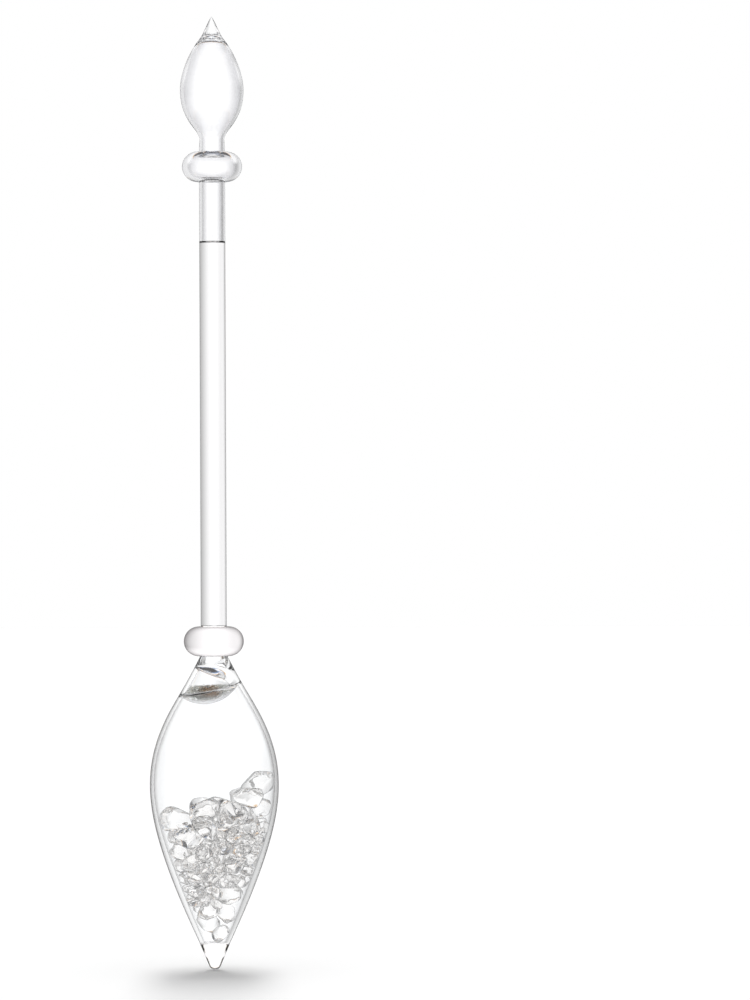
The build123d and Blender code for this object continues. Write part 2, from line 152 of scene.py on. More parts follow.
def glass_material(name, ior, colour, edge, edge_starts, edge_ends):
    """Clear glass, with painted shade: its colour darkens where the surface is seen edge on."""
    material, nodes, links = new_material(name)
    out = nodes.new("ShaderNodeOutputMaterial")
    shader = nodes.new("ShaderNodeBsdfPrincipled")
    facing = nodes.new("ShaderNodeLayerWeight")
    spread = nodes.new("ShaderNodeMapRange")
    spread.interpolation_type = "SMOOTHSTEP"
    spread.inputs["From Min"].default_value = edge_starts
    spread.inputs["From Max"].default_value = edge_ends
    links.new(facing.outputs["Facing"], spread.inputs["Value"])
    # painted shade: toward the silhouette the colour turns to the edge colour, for the darker surroundings
    # that glass shows there
    edge_shade = colour_mix(nodes, links, spread.outputs["Result"], (*colour, 1), (*edge, 1))
    links.new(edge_shade, shader.inputs["Base Color"])
    shader.inputs["Roughness"].default_value = 0.0
    shader.inputs["IOR"].default_value = ior
    shader.inputs["Transmission Weight"].default_value = 1.0
    links.new(shader.outputs["BSDF"], out.inputs["Surface"])
    return material


def weld_material():
    """Inside the glass where two pieces are fused there is no surface to see."""
    material, nodes, links = new_material("weld")
    out = nodes.new("ShaderNodeOutputMaterial")
    shader = nodes.new("ShaderNodeBsdfTransparent")
    links.new(shader.outputs["BSDF"], out.inputs["Surface"])
    return material


# refractive index, colour, the painted shade that the glass takes when seen edge on, and where that painted
# shade starts and is full.
# The chips and the lower ring bend light less than real ones would, to look as pale as in soft daylight.
CLEAR_GLASS = glass_material("clear_glass", 1.47, (0.99, 0.995, 1.0), (0.03, 0.025, 0.025), 0.60, 0.90)
SOLID_GLASS = glass_material("solid_glass", 1.47, (0.995, 0.99, 0.995), (0.55, 0.52, 0.54), 0.5, 1.0)
PINK_GLASS = glass_material("pink_glass", 1.36, (1.0, 0.975, 0.985), (0.08, 0.065, 0.07), 0.3, 0.95)
# a broad painted grey shade, from nearly face on out to the edges, on the ring and the finial
EDGE_SHADED_GLASS = glass_material("edge_shaded_glass", 1.47, (0.99, 0.99, 0.995), (0.80, 0.80, 0.815), 0.08, 0.40)
TUBE_GLASS = glass_material("tube_glass", 1.47, (0.99, 0.99, 0.995), (0.76, 0.76, 0.77), 0.02, 0.34)
ROCK_CRYSTAL = glass_material("rock_crystal", 1.31, (1.0, 0.995, 0.99), (0.01, 0.01, 0.01), 0.48, 0.88)
WELD = weld_material()


# ------------------------------------------------------------------ turned glass
def smooth_curve(points, start, end, count):
    """Cubic curve through the points, as the CAD has it, with its two end directions."""
    points = np.array(points, float)
    gaps = np.linalg.norm(np.diff(points, axis=0), axis=1)
    knots = np.concatenate([[0], np.cumsum(gaps)])
    size = len(points)
    matrix = np.eye(size)
    right = np.zeros((size, 2))
    right[0] = np.array(start) / np.linalg.norm(start)
    right[-1] = np.array(end) / np.linalg.norm(end)
    for i in range(1, size - 1):
        before, after = gaps[i - 1], gaps[i]
        matrix[i, i - 1:i + 2] = after, 2 * (before + after), before
        right[i] = 3 * (after * (points[i] - points[i - 1]) / before
                        + before * (points[i + 1] - points[i]) / after)
    slopes = np.linalg.solve(matrix, right)
    made = []
    for t in np.linspace(0, knots[-1], count):
        i = min(np.searchsorted(knots, t, side="right") - 1, size - 2)
        u = (t - knots[i]) / gaps[i]
        made.append((1 + 2 * u) * (1 - u) ** 2 * points[i] + u ** 2 * (3 - 2 * u) * points[i + 1]
                    + gaps[i] * (u * (1 - u) ** 2 * slopes[i] - u ** 2 * (1 - u) * slopes[i + 1]))
    return [tuple(p) for p in made]


def arc(first, middle, last, count):
    """Points of the circle through three points, from the first to the last."""
    (ax, ay), (bx, by), (cx, cy) = first, middle, last
    a, b, c = ax ** 2 + ay ** 2, bx ** 2 + by ** 2, cx ** 2 + cy ** 2
    d = 2 * (ax * (by - cy) + bx * (cy - ay) + cx * (ay - by))
    ux = (a * (by - cy) + b * (cy - ay) + c * (ay - by)) / d
    uy = (a * (cx - bx) + b * (ax - cx) + c * (bx - ax)) / d
    radius = math.hypot(ax - ux, ay - uy)
    start = math.atan2(ay - uy, ax - ux)
    middle_turn = (math.atan2(by - uy, bx - ux) - start) % (2 * math.pi)
    turn = (math.atan2(cy - uy, cx - ux) - start) % (2 * math.pi)
    if middle_turn > turn:
        turn -= 2 * math.pi
    return [(ux + radius * math.cos(start + turn * s), uy + radius * math.sin(start + turn * s))
            for s in np.linspace(0, 1, count)]


def run(first, last, count):
    """Evenly spaced points of a straight run."""
    return [tuple(np.array(first) * (1 - s) + np.array(last) * s) for s in np.linspace(0, 1, count)]


class Turned:
    """A closed mesh made of rings of points about the wand's axis."""

    def __init__(self):
        self.mesh = bmesh.new()

    def surface(self, rings, welds, flip=False, closed=False):
        """Adds rings, each of many points or of one; welds numbers the spans with no surface."""
        made = []
        for ring in rings:
            made.append([self.mesh.verts.new(Vector(point) * MM) for point in ring])
        spans = list(zip(made, made[1:]))
        if closed:
            spans.append((made[-1], made[0]))
        for number, (low, high) in enumerate(spans):
            faces = self.span(low, high, flip)
            if number in welds:
                for face in faces:
                    face.material_index = 1

    def span(self, low, high, flip):
        """Faces from one ring to the next, either of which may be a single point."""
        count = max(len(low), len(high))
        faces = []
        for i in range(count):
            j = (i + 1) % count
            if len(low) == 1:
                corners = [low[0], high[j], high[i]]
            elif len(high) == 1:
                corners = [low[i], low[j], high[0]]
            else:
                corners = [low[i], low[j], high[j], high[i]]
            if flip:
                corners.reverse()
            faces.append(self.mesh.faces.new(corners))
        return faces

    def piece(self, name, nodes, glass):
        """Ends the mesh: a piece of glass, with no surface where it is welded to the next."""
        mesh = bpy.data.meshes.new(name)
        self.mesh.to_mesh(mesh)
        self.mesh.free()
        finished(mesh, name, nodes, [glass, WELD])


def finished(mesh, name, nodes, materials, body=WAND):
    """Makes the mesh a smooth-shaded piece that rides on a body and stands for CAD nodes."""
    for material in materials:
        mesh.materials.append(material)
    mesh.polygons.foreach_set("use_smooth", [True] * len(mesh.polygons))
    mesh.set_sharp_from_angle(angle=SHARP_ANGLE)
    piece = bpy.data.objects.new(name, mesh)
    bpy.context.scene.collection.objects.link(piece)
    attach(piece, body)
    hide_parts(*nodes)


def round_ring(radius, z):
    """One ring about the axis, or a single point where the radius is nothing."""
    if radius < ON_AXIS:
        return [(0, 0, z)]
    turns = np.linspace(0, 2 * math.pi, SEGMENTS, endpoint=False)
    return [(radius * math.cos(turn), radius * math.sin(turn), z) for turn in turns]


def turned_piece(name, node, outline, welds, glass, closed=False):
    """A round piece from its outline, as (radius, height); welds numbers the spans with no surface."""
    shape = Turned()
    shape.surface([round_ring(r, z) for r, z in outline], welds, closed=closed)
    shape.piece(name, [node], glass)


def make_vial_tip():
    """The solid point under the vial: a round end, straight sides and a flat top."""
    lean = math.atan(VIAL_END_SLOPES[0])
    side = (TIP_ROUNDING * math.cos(lean), TIP_ROUNDING * (1 - math.sin(lean)))
    halfway = math.radians(45) + lean / 2
    middle = (TIP_ROUNDING * math.sin(halfway), TIP_ROUNDING * (1 - math.cos(halfway)))
    top = TIP_TOP_Z - WELD_GAP
    hollow = TIP_TOP_RADIUS - VIAL_INSET[0]
    outline = arc((0, 0), middle, side, TIP_ARC_STEPS)
    outline += run(side, (TIP_TOP_RADIUS, top), TIP_SIDE_STEPS)[1:]
    welds = [len(outline) - 1]
    outline += run((hollow, top), (0, top), TIP_CAP_STEPS)
    turned_piece("tip_glass", "vial_tip", outline, welds, SOLID_GLASS)


def make_lower_collar():
    """The solid ring under the stem."""
    low, high = WAIST_Z + WELD_GAP, ROD_BOTTOM_Z - WELD_GAP
    widest = (COLLAR_RADIUS, (low + high) / 2)
    side = arc((WAIST_RADIUS, low), widest, (WAIST_RADIUS, high), COLLAR_STEPS)
    outline = [(0, low)] + side + [(STEM_RADIUS - GROOVE, high), (0, high)]
    welds = [0, len(outline) - 2]
    turned_piece("lower_collar_glass", "lower_collar", outline, welds, PINK_GLASS)


def make_stem():
    """The solid rod, with a shallow dish on top, where the tube's bore ends."""
    low, high = ROD_BOTTOM_Z + WELD_GAP, ROD_TOP_Z - WELD_GAP
    outline = [(0, low), (STEM_RADIUS - GROOVE, low)]
    outline += run((STEM_RADIUS, low + GROOVE), (STEM_RADIUS, high), ROD_STEPS)
    welds = [0, len(outline) - 1]
    dish = [(BORE_RADIUS, high), (0, high - BORE_DISH)]
    outline += smooth_curve(dish, BORE_DISH_RIM, (-1, 0), SHORT_STEPS)
    turned_piece("stem_glass", "stem_rod", outline, welds, SOLID_GLASS)


def make_upper_tube():
    """The short hollow tube above the rod, open at both ends."""
    low, high = ROD_TOP_Z + WELD_GAP, UPPER_COLLAR_Z - WELD_GAP
    outside = run((STEM_RADIUS, low), (STEM_RADIUS, high), SHORT_STEPS)
    inside = run((BORE_RADIUS, high), (BORE_RADIUS, low), SHORT_STEPS)
    outline = outside + inside
    welds = [len(outside) - 1, len(outline) - 1]
    turned_piece("upper_tube_glass", "upper_tube", outline, welds, TUBE_GLASS, closed=True)


def make_upper_collar():
    """The ring pushed out of the tube's own wall, so that it is hollow inside."""
    low, high = UPPER_COLLAR_Z + WELD_GAP, UPPER_COLLAR_TOP_Z - WELD_GAP
    middle = (low + high) / 2
    outside = arc((STEM_RADIUS, low), (COLLAR_RADIUS, middle), (STEM_RADIUS, high), COLLAR_STEPS)
    lip_top, lip_bottom = (BORE_RADIUS, high - UPPER_COLLAR_LIP), (BORE_RADIUS, low + UPPER_COLLAR_LIP)
    hollow = arc(lip_top, (COLLAR_RADIUS - UPPER_COLLAR_WALL, middle), lip_bottom, COLLAR_HOLLOW_STEPS)
    outline = outside + [(BORE_RADIUS, high)] + hollow + [(BORE_RADIUS, low)]
    welds = [len(outside) - 1, len(outline) - 1]
    turned_piece("upper_collar_glass", "upper_collar", outline, welds, EDGE_SHADED_GLASS, closed=True)


def make_finial_bulb():
    """The hollow blown drop, open below into the ring."""
    low, high = UPPER_COLLAR_TOP_Z + WELD_GAP, FINIAL_SOLID_Z - WELD_GAP
    start, end = [(slope, 1) for slope in FINIAL_END_SLOPES]
    drop = FINIAL_OUTLINE[:-1] + [(FINIAL_OUTLINE[-1][0], high)]
    outside = run((STEM_RADIUS, low), FINIAL_OUTLINE[0], FINIAL_NECK_STEPS)[:-1]
    outside += smooth_curve(drop, start, end, CURVE_STEPS)
    hollow = [(BORE_RADIUS, FINIAL_OUTLINE[0][1])]
    hollow += [(radius - TUBE_WALL, z) for radius, z in FINIAL_OUTLINE[1:-1]]
    hollow += [(0, FINIAL_SOLID_Z - FINIAL_HOLLOW_SHORT)]
    inside = [(BORE_RADIUS, low)] + smooth_curve(hollow, start, FINIAL_HOLLOW_END, CURVE_STEPS)
    outline = [(0, high)] + outside[::-1] + inside
    shape = Turned()
    shape.surface([round_ring(r, z) for r, z in outline], [0, len(outside)], flip=True)
    shape.piece("finial_glass", ["finial_bulb"], EDGE_SHADED_GLASS)


def make_finial_tip():
    """The solid drawn point on top."""
    low = FINIAL_SOLID_Z + WELD_GAP
    points = [(FINIAL_TIP_OUTLINE[0][0], low)] + FINIAL_TIP_OUTLINE[1:]
    start, end = [(slope, 1) for slope in FINIAL_TIP_SLOPES]
    side = smooth_curve(points, start, end, POINT_STEPS)
    turned_piece("finial_tip_glass", "finial_tip", [(0, low)] + side, [0], CLEAR_GLASS)


def bowl_underside(x, y):
    """Height of the bowl's outer surface over x, y."""
    out = math.hypot(x - BOWL_CENTRE[0], y - BOWL_CENTRE[1])
    return BOWL_CENTRE[2] - math.sqrt(max(BOWL_RADIUS ** 2 - out ** 2, 0))


def vial_curve(points, count):
    """Curve through points of the vial's outside or inside, with the outline's end slopes."""
    start, end = [(slope, 1) for slope in VIAL_END_SLOPES]
    return smooth_curve(points, start, end, count)


def vial_inside():
    """Radii and heights of the vial's hollow, closely sampled."""
    inner = [(radius - less, z) for (radius, z), less in zip(VIAL_OUTLINE, VIAL_INSET)]
    return np.array(vial_curve(inner, HOLLOW_SAMPLES)).T


def rim_height(turn, hollow):
    """Height at which the hollow's wall meets the bowl, in one direction from the axis."""
    radii, heights = hollow
    low, high = heights[len(heights) // 2], heights[-1]
    for _ in range(HALVINGS):
        middle = (low + high) / 2
        radius = np.interp(middle, heights, radii)
        if bowl_underside(radius * math.cos(turn), radius * math.sin(turn)) > middle:
            low = middle
        else:
            high = middle
    return low


def hollow_column(turn, hollow, bottom):
    """Points up the hollow's wall in one direction, round the crease at its rim and in under the bowl."""
    radii, heights = hollow
    across = np.array((math.cos(turn), math.sin(turn)))
    top = rim_height(turn, hollow)
    points = []
    for z in np.linspace(bottom, top - RIM_ROUNDING, WALL_STEPS):
        points.append(np.array((*across * np.interp(z, heights, radii), z)))
    rim_radius = np.interp(top, heights, radii)
    crease = np.array((*across * rim_radius, top))
    first = points[-1]
    inward = across * (rim_radius - RIM_ROUNDING)
    last = np.array((*inward, bowl_underside(*inward)))
    for t in np.linspace(0, 1, RIM_STEPS + 1)[1:]:
        points.append(first * (1 - t) ** 2 + crease * 2 * t * (1 - t) + last * t ** 2)
    for share in np.linspace(1, 0, BOWL_STEPS + 1)[1:-1]:
        points.append(np.array((*inward * share, bowl_underside(*inward * share))))
    return points


def worn(closeness, sharpness):
    """Nearest of several surfaces at once, as 1 / distance, with the creases between them worn round."""
    largest = closeness.max(axis=1)
    return largest * ((closeness / largest[:, None]) ** sharpness).sum(axis=1) ** (1 / sharpness)


def in_ball(start, directions, centre, radius):
    """Distances from a start inside a ball to its surface."""
    along = directions @ (start - centre)
    return -along + np.sqrt(along ** 2 - (start - centre) @ (start - centre) + radius ** 2)


def in_hollow(start, directions, hollow):
    """Distances from a start inside the vial's hollow to its wall."""
    radii, heights = hollow
    near = np.zeros(len(directions))
    far = np.full(len(directions), 2 * radii.max())
    for _ in range(HALVINGS):
        middle = (near + far) / 2
        places = start + directions * middle[:, None]
        inside = np.hypot(places[:, 0], places[:, 1]) < np.interp(places[:, 2], heights, radii)
        near = np.where(inside, middle, near)
        far = np.where(inside, far, middle)
    return near


def chamber_reach(directions, hollow):
    """How far the chamber goes from its middle: it is inside the bowl, the dome and the vial's wall."""
    start = np.array(CHAMBER_MIDDLE)
    surfaces = [
        in_ball(start, directions, np.array(BOWL_CENTRE), BOWL_RADIUS - BOWL_WALL),
        in_ball(start, directions, np.array(DOME_CENTRE), DOME_RADIUS),
        in_hollow(start, directions, hollow),
    ]
    return 1 / worn(1 / np.array(surfaces).T, CHAMBER_SHARPNESS)


def add_part(mesh, part, inside_out=False):
    """Adds one closed mesh to another; inside out, it is a bubble in the glass."""
    if inside_out:
        bmesh.ops.reverse_faces(part, faces=part.faces)
    data = bpy.data.meshes.new("part")
    part.to_mesh(data)
    part.free()
    mesh.from_mesh(data)
    bpy.data.meshes.remove(data)


def shaped_ball(centre, detail, reach_of):
    """A closed mesh about a centre, as far out in every direction as reach_of says, in metres."""
    ball = bmesh.new()
    bmesh.ops.create_icosphere(ball, subdivisions=detail, radius=1)
    directions = np.array([tuple(v.co.normalized()) for v in ball.verts])
    places = centre + directions * reach_of(directions)[:, None]
    for vert, place in zip(ball.verts, places):
        vert.co = Vector(place)
    return ball


def make_chamber(hollow):
    """The small upper chamber, between the bowl and the neck glass."""
    def reach_of(directions):
        return chamber_reach(directions, hollow) * MM
    return shaped_ball(np.array(CHAMBER_MIDDLE) * MM, CHAMBER_DETAIL, reach_of)


def make_bubble():
    """The four-cornered bubble in the neck glass, its corners rounded."""
    corners = np.array(BUBBLE_CORNERS)
    centre = corners.mean(axis=0)
    normals = []
    reach = []
    for left_out in range(len(corners)):
        a, b, c = np.delete(corners, left_out, axis=0)
        normal = np.cross(b - a, c - a)
        normal /= np.linalg.norm(normal)
        if normal @ (a - centre) < 0:
            normal = -normal
        normals.append(normal)
        reach.append(normal @ (a - centre))
    return worn_chip(centre * MM, np.array(normals), np.array(reach) * MM, BUBBLE_SHARPNESS)


def make_vial():
    """The vial's wall, the bowl and the neck glass are one fused piece with three hollows."""
    low, high = TIP_TOP_Z + WELD_GAP, WAIST_Z - WELD_GAP
    outside = vial_curve(VIAL_OUTLINE, LONG_STEPS)
    outside = [(outside[0][0], low)] + outside[1:-1] + [(outside[-1][0], high)]
    hollow = vial_inside()
    turns = np.linspace(0, 2 * math.pi, SEGMENTS, endpoint=False)
    columns = [hollow_column(turn, hollow, low) for turn in turns]
    rings = [[(0, 0, high)]] + [round_ring(r, z) for r, z in outside[::-1]]
    rings += [list(ring) for ring in zip(*columns)]
    rings += [[(0, 0, bowl_underside(0, 0))]]
    shape = Turned()
    shape.surface(rings, [0, len(outside)], flip=True)
    add_part(shape.mesh, make_chamber(hollow), inside_out=True)
    add_part(shape.mesh, make_bubble(), inside_out=True)
    shape.piece("vial_glass", ["vial_body", "chamber_bowl", "neck_gather"], CLEAR_GLASS)


# ------------------------------------------------------------------ crystals
SAME_POINT = 1e-6                 # points nearer than this are one, in metres
SAME_FACET = 2e-5                 # parallel planes nearer than this are one, in metres
PARALLEL = 0.9995                 # cosine of the largest angle between parallel planes
LEAST_CLOSENESS = 1e-9            # of a facet that a direction never meets


def solids_of(mesh):
    """The points of each separate solid in a mesh, always in the same order."""
    left = set(mesh.verts)
    solids = []
    while left:
        solid = {left.pop()}
        edge = set(solid)
        while edge:
            edge = {e.other_vert(v) for v in edge for e in v.link_edges} - solid
            solid |= edge
        left -= solid
        solids.append(sorted(solid, key=lambda v: tuple(v.co)))
    return sorted(solids, key=lambda solid: tuple(solid[0].co))


def facets_of(solid):
    """Outward normals of a solid's flat facets, and their distances from the origin."""
    planes = []
    for face in {f for v in solid for f in v.link_faces}:
        face.normal_update()
        planes.append((np.array(face.normal), float(face.normal.dot(face.verts[0].co))))
    planes.sort(key=lambda plane: (plane[1], *plane[0]))
    kept = []
    for normal, offset in planes:
        if not any(normal @ n > PARALLEL and abs(offset - d) < SAME_FACET for n, d in kept):
            kept.append((normal, offset))
    return np.array([n for n, d in kept]), np.array([d for n, d in kept])


def worn_chip(centre, normals, reach, sharpness):
    """A convex chip with its edges worn round: always inside the flat-sided one."""
    def reach_of(directions):
        closeness = np.maximum(directions @ normals.T / reach, LEAST_CLOSENESS)
        return 1 / worn(closeness, sharpness)
    return shaped_ball(centre, CHIP_DETAIL, reach_of)


def make_chips(node, body):
    """The chips of one CAD node: the same facets in the same places, with worn edges."""
    whole = bmesh.new()
    whole.from_mesh(frame["nodes"][node].data)
    bmesh.ops.remove_doubles(whole, verts=whole.verts, dist=SAME_POINT)
    made = bmesh.new()
    for solid in solids_of(whole):
        centre = np.mean([tuple(v.co) for v in solid], axis=0)
        normals, offsets = facets_of(solid)
        add_part(made, worn_chip(centre, normals, offsets - normals @ centre, CHIP_SHARPNESS))
    whole.free()
    mesh = bpy.data.meshes.new(node + "_stone")
    made.to_mesh(mesh)
    made.free()
    finished(mesh, node + "_stone", [node], [ROCK_CRYSTAL], body)


# ------------------------------------------------------------------ splinters
SPLINTERS = 2800
SPLINTER_SIZES = (0.16, 0.34)     # half sizes, smallest and largest
SPLINTER_SHARES = (0.6, 1.0)      # half length along each axis, as a share of the half size
SPLINTER_TOP_Z = 98.2
SPLINTER_TOP_SPREAD = 0.15        # how uneven the top is
SPLINTER_GAP = 0.1                # to the glass
# a splinter's six corners are the two ends of each of its three axes in turn; these are its faces
SPLINTER_FACES = [(0, 2, 4), (2, 1, 4), (1, 3, 4), (3, 0, 4), (2, 0, 5), (1, 2, 5), (3, 1, 5), (0, 3, 5)]
GRAVEL_PLACE = (-1.2, 0, 96.3)    # middle of the brown patch
GRAVEL_REACH = (4.6, 10, 2.3)     # half its size
GRAVEL_FADES = (1.15, 0.6)        # from no brown to all brown, as shares of that reach
SPECKLE_SCALE = 1900
DARK_BROWN, LIGHT_BROWN = (0.38, 0.20, 0.06, 1), (0.85, 0.56, 0.27, 1)
DARK_GREY, LIGHT_GREY = (0.92, 0.94, 0.88, 1), (1.0, 1.0, 0.97, 1)
SEED = 7


def splinter_material():
    """Pale grey-green dust of crystal, golden brown towards its middle."""
    material, nodes, links = new_material("splinters")
    out = nodes.new("ShaderNodeOutputMaterial")
    shader = nodes.new("ShaderNodeBsdfPrincipled")
    place = nodes.new("ShaderNodeTexCoord")
    middle = nodes.new("ShaderNodeVectorMath")
    middle.operation = "SUBTRACT"
    middle.inputs[1].default_value = Vector(GRAVEL_PLACE) * MM
    links.new(place.outputs["Object"], middle.inputs[0])
    scaled = nodes.new("ShaderNodeVectorMath")
    scaled.operation = "DIVIDE"
    scaled.inputs[1].default_value = Vector(GRAVEL_REACH) * MM
    links.new(middle.outputs["Vector"], scaled.inputs[0])
    far = nodes.new("ShaderNodeVectorMath")
    far.operation = "LENGTH"
    links.new(scaled.outputs["Vector"], far.inputs[0])
    patch = nodes.new("ShaderNodeMapRange")
    patch.interpolation_type = "SMOOTHSTEP"
    patch.inputs["From Min"].default_value = GRAVEL_FADES[0]
    patch.inputs["From Max"].default_value = GRAVEL_FADES[1]
    links.new(far.outputs["Value"], patch.inputs["Value"])
    speckle = nodes.new("ShaderNodeTexNoise")
    speckle.inputs["Scale"].default_value = SPECKLE_SCALE
    speckle.inputs["Detail"].default_value = 2
    links.new(place.outputs["Object"], speckle.inputs["Vector"])
    brown = colour_mix(nodes, links, speckle.outputs["Fac"], DARK_BROWN, LIGHT_BROWN)
    grey = colour_mix(nodes, links, speckle.outputs["Fac"], DARK_GREY, LIGHT_GREY)
    colour = colour_mix(nodes, links, patch.outputs["Result"], grey, brown)
    links.new(colour, shader.inputs["Base Color"])
    shader.inputs["Roughness"].default_value = 0.15
    shader.inputs["IOR"].default_value = 1.25
    shader.inputs["Transmission Weight"].default_value = 0.7
    links.new(shader.outputs["BSDF"], out.inputs["Surface"])
    return material


def make_splinters():
    """Fine splinters that fill the bowl of the upper chamber up to a nearly level top."""
    rng = np.random.default_rng(SEED)
    start = np.array(CHAMBER_MIDDLE)
    hollow = vial_inside()
    bottom = BOWL_CENTRE[2] - BOWL_RADIUS
    corners = []
    while len(corners) < SPLINTERS:
        aside = rng.uniform(-DOME_RADIUS, DOME_RADIUS, 2) + start[:2]
        top = SPLINTER_TOP_Z + rng.normal(0, SPLINTER_TOP_SPREAD)
        place = np.array((*aside, rng.uniform(bottom, top)))
        half = rng.uniform(*SPLINTER_SIZES) * rng.uniform(*SPLINTER_SHARES, 3)
        away = np.linalg.norm(place - start)
        reach = chamber_reach(((place - start) / away)[None], hollow)[0]
        if away + half.max() + SPLINTER_GAP < reach:
            turn = random_turn(rng)
            ends = [place + sign * half[axis] * turn[axis] for axis in range(3) for sign in (1, -1)]
            corners.append(ends)
    points = np.array(corners).reshape(-1, 3) * MM
    firsts = range(0, len(points), len(corners[0]))
    faces = [tuple(first + corner for corner in face) for first in firsts for face in SPLINTER_FACES]
    mesh = bpy.data.meshes.new("splinters")
    mesh.from_pydata([tuple(p) for p in points], [], faces)
    mesh.materials.append(splinter_material())
    piece = bpy.data.objects.new("splinters", mesh)
    bpy.context.scene.collection.objects.link(piece)
    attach(piece, WAND)
    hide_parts("diamond_splinters")


def random_turn(rng):
    """Three random directions, square to each other and right-handed."""
    axes, _ = np.linalg.qr(rng.normal(size=(3, 3)))
    if np.linalg.det(axes) < 0:
        axes[2] = -axes[2]
    return axes


# ------------------------------------------------------------------ stage
CAMERA_DISTANCE = 1.5
CAMERA_HEIGHT = 0.1624
CAMERA_ASIDE = 0.0560
CAMERA_ROLL = math.radians(0.22)
FRAME_HEIGHT = 0.34628            # of the picture, at the wand's distance
SENSOR = 36.0                     # in millimetres, as the lens is
CAMERA_CLIPS = (0.05, 50)


def make_camera():
    """A long lens at the wand's middle height, aside of it, so that the wand stands at the left."""
    data = bpy.data.cameras.new("camera")
    data.sensor_width = SENSOR
    data.lens = SENSOR * CAMERA_DISTANCE / FRAME_HEIGHT
    data.clip_start, data.clip_end = CAMERA_CLIPS
    camera = bpy.data.objects.new("camera", data)
    camera.location = (CAMERA_ASIDE, -CAMERA_DISTANCE, CAMERA_HEIGHT)
    camera.rotation_euler = (math.radians(90), 0, 0)
    camera.rotation_mode = "XYZ"
    camera.rotation_euler.rotate_axis("Z", -CAMERA_ROLL)
    bpy.context.scene.collection.objects.link(camera)
    bpy.context.scene.camera = camera


# How bright the studio is around the horizon, by direction in degrees from +X: lit panels behind
# the wand for each side that it is looked at from, with softer and darker parts between them.
STUDIO = [
    (0, 0.58), (25, 0.46), (35, 0.50), (52, 0.62), (64, 0.76), (76, 0.98), (90, 1.20), (104, 1.12),
    (118, 0.92), (135, 1.10), (150, 0.62), (165, 0.62), (180, 1.20), (195, 0.75), (225, 0.60),
    (250, 0.10), (285, 0.10), (303, 0.90), (315, 1.20), (327, 0.90), (345, 0.70), (360, 0.58),
]
STUDIO_GAIN = 1.5                 # the ramp holds nothing brighter than one
WHITE = (1.20, 1.20, 1.20)
# By height, from straight down (-1) to straight up (1): a colour, and its share of the whole. Only
# strongly bent light reaches the two dark bands; the upper one has the coloured edges that crystal
# would give it.
STUDIO_HEIGHTS = [
    (-1.0, WHITE, 1.0), (-0.96, (0.20, 0.20, 0.20), 0.9), (-0.86, (0.20, 0.20, 0.20), 0.9),
    (-0.78, WHITE, 1.0), (-0.64, WHITE, 1.0), (-0.54, WHITE, 0.2), (-0.14, WHITE, 0.0),
    (0.14, WHITE, 0.0), (0.28, WHITE, 1.0), (0.51, WHITE, 1.0), (0.55, (1.0, 0.66, 0.34), 0.95),
    (0.60, (0.07, 0.10, 0.17), 0.95), (0.68, (0.08, 0.08, 0.08), 0.95), (0.80, (0.08, 0.08, 0.08), 0.95),
    (0.84, (0.34, 0.46, 0.70), 0.95), (0.89, WHITE, 1.0), (1.0, WHITE, 1.0),
]
REFLECTED = 0.30                  # brightness of what the outside of the glass mirrors
AMBIENT = 0.64                    # light that the floor gets from all around


def grey_of(brightness):
    """A colour without a hue, with its alpha."""
    return (brightness, brightness, brightness, 1)


def math_node(nodes, links, operation, *values):
    """Output of an operation on values, each given as a number or as another node's output."""
    node = nodes.new("ShaderNodeMath")
    node.operation = operation
    for socket, value in zip(node.inputs, values):
        if isinstance(value, (int, float)):
            socket.default_value = value
        else:
            links.new(value, socket)
    return node.outputs["Value"]


def colour_ramp(nodes, links, place, stops, interpolation):
    """A ramp along a place from 0 to 1, of stops that are each a place and a colour with its alpha."""
    ramp = nodes.new("ShaderNodeValToRGB")
    ramp.color_ramp.interpolation = interpolation
    while len(ramp.color_ramp.elements) < len(stops):
        ramp.color_ramp.elements.new(0.5)
    for stop, (position, colour) in zip(ramp.color_ramp.elements, stops):
        stop.position = position
        stop.color = colour
    links.new(place, ramp.inputs["Fac"])
    return ramp


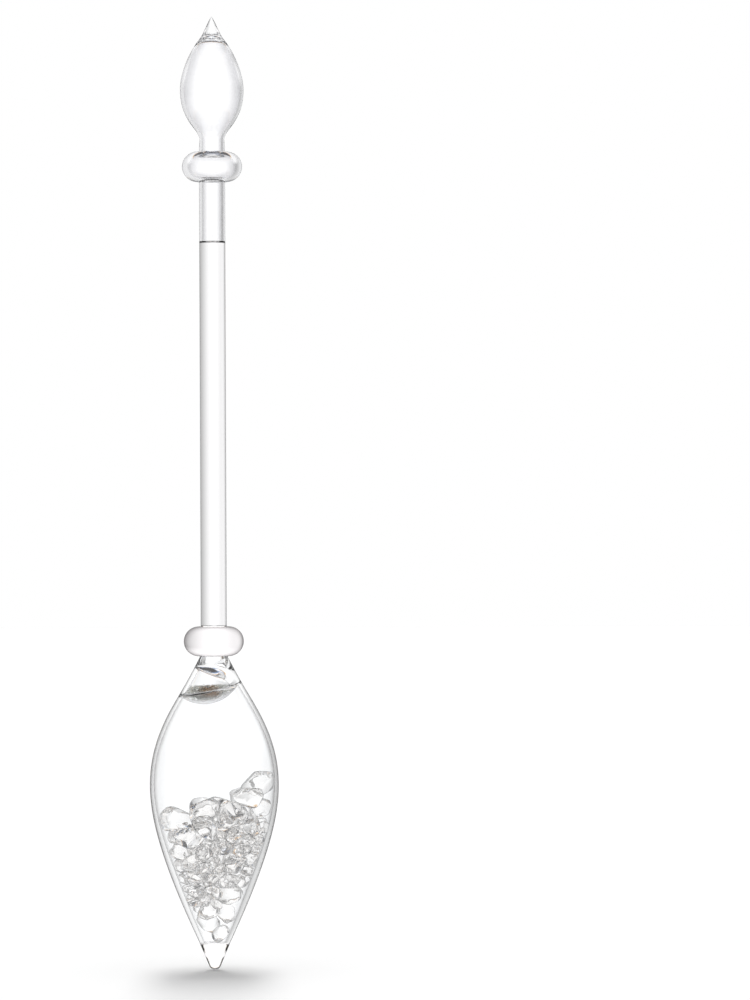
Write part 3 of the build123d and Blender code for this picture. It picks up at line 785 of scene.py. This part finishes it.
def make_world():
    """The studio that the glass shows, plain white to the camera and grey to what lights the floor."""
    world = bpy.data.worlds.new("studio")
    bpy.context.scene.world = world
    world.use_nodes = True
    nodes = world.node_tree.nodes
    links = world.node_tree.links
    nodes.clear()
    out = nodes.new("ShaderNodeOutputWorld")
    background = nodes.new("ShaderNodeBackground")
    coordinates = nodes.new("ShaderNodeTexCoord")
    split = nodes.new("ShaderNodeSeparateXYZ")
    links.new(coordinates.outputs["Generated"], split.inputs["Vector"])
    around = math_node(nodes, links, "ARCTAN2", split.outputs["Y"], split.outputs["X"])
    around = math_node(nodes, links, "DIVIDE", around, 2 * math.pi)
    around = math_node(nodes, links, "FLOORED_MODULO", around, 1.0)
    stops = [(direction / 360, grey_of(brightness / STUDIO_GAIN)) for direction, brightness in STUDIO]
    level = colour_ramp(nodes, links, around, stops, "B_SPLINE")
    level = math_node(nodes, links, "MULTIPLY", level.outputs["Color"], STUDIO_GAIN)
    stops = []
    for rise, colour, share in STUDIO_HEIGHTS:
        stops.append(((rise + 1) / 2, (*(part / STUDIO_GAIN for part in colour), share)))
    from_bottom = math_node(nodes, links, "MULTIPLY_ADD", split.outputs["Z"], 0.5, 0.5)
    upward = colour_ramp(nodes, links, from_bottom, stops, "LINEAR")
    colour_there = nodes.new("ShaderNodeVectorMath")
    colour_there.operation = "SCALE"
    colour_there.inputs["Scale"].default_value = STUDIO_GAIN
    links.new(upward.outputs["Color"], colour_there.inputs[0])
    studio = colour_mix(nodes, links, upward.outputs["Alpha"], level, colour_there.outputs["Vector"])
    path = nodes.new("ShaderNodeLightPath")
    seen = colour_mix(nodes, links, path.outputs["Is Transmission Ray"], grey_of(REFLECTED), studio)
    seen = colour_mix(nodes, links, path.outputs["Is Diffuse Ray"], seen, grey_of(AMBIENT))
    seen = colour_mix(nodes, links, path.outputs["Is Camera Ray"], seen, grey_of(1))
    links.new(seen, background.inputs["Color"])
    links.new(background.outputs["Background"], out.inputs["Surface"])


FLOOR_RADIUS = 4.0
FLOOR_CORNERS = 96
FLOOR_DROP = 0.0001               # just under the wand's tip
FLOOR_BRIGHTNESS = 0.93


def make_floor():
    """The pale floor that takes the wand's shadow."""
    place = (0, 0, -FLOOR_DROP)
    bpy.ops.mesh.primitive_circle_add(
        vertices=FLOOR_CORNERS, radius=FLOOR_RADIUS, fill_type="NGON", location=place)
    floor = bpy.context.object
    floor.name = "floor"
    material, nodes, links = new_material("floor")
    out = nodes.new("ShaderNodeOutputMaterial")
    shader = nodes.new("ShaderNodeBsdfDiffuse")
    shader.inputs["Color"].default_value = grey_of(FLOOR_BRIGHTNESS)
    links.new(shader.outputs["BSDF"], out.inputs["Surface"])
    floor.data.materials.append(material)
    floor.visible_transmission = False    # the glass shows the studio around it, not the floor
    floor.visible_glossy = False


SUN_TILTS = [math.radians(angle) for angle in (6, 15, 24, 33, 42, 51)]    # from straight overhead
SUN_WIDTH = math.radians(14)
SUNLIGHT = 1.8


def make_lights():
    """A long softbox overhead, leaning back: a row of wide suns, so that the floor is evenly lit."""
    for number, tilt in enumerate(SUN_TILTS):
        data = bpy.data.lights.new("softbox_%d" % number, "SUN")
        data.angle = SUN_WIDTH
        data.energy = SUNLIGHT / len(SUN_TILTS)
        light = bpy.data.objects.new(data.name, data)
        light.location = (0, math.sin(tilt), math.cos(tilt))
        light.rotation_euler = (-tilt, 0, 0)
        light.visible_transmission = False
        light.visible_glossy = False
        bpy.context.scene.collection.objects.link(light)


def settings():
    """How colours are shown, and how often light may bounce."""
    scene = bpy.context.scene
    scene.view_settings.view_transform = "Standard"
    scene.cycles.use_denoising = True
    scene.cycles.max_bounces = 40
    scene.cycles.transmission_bounces = 40
    scene.cycles.glossy_bounces = 12
    scene.cycles.diffuse_bounces = 16     # light goes far among the pale splinters
    scene.cycles.transparent_max_bounces = 32


# ------------------------------------------------------------------ assembly
make_camera()
make_world()
make_floor()
make_lights()
settings()
make_vial_tip()
make_vial()
make_lower_collar()
make_stem()
make_upper_tube()
make_upper_collar()
make_finial_bulb()
make_finial_tip()
make_splinters()
NODE_BODY = {node: body for body, nodes in frame["record"]["behaviour"]["bodies"].items() for node in nodes}
for node, body in NODE_BODY.items():
    if "crystal" in node or "chips" in node:
        make_chips(node, body)
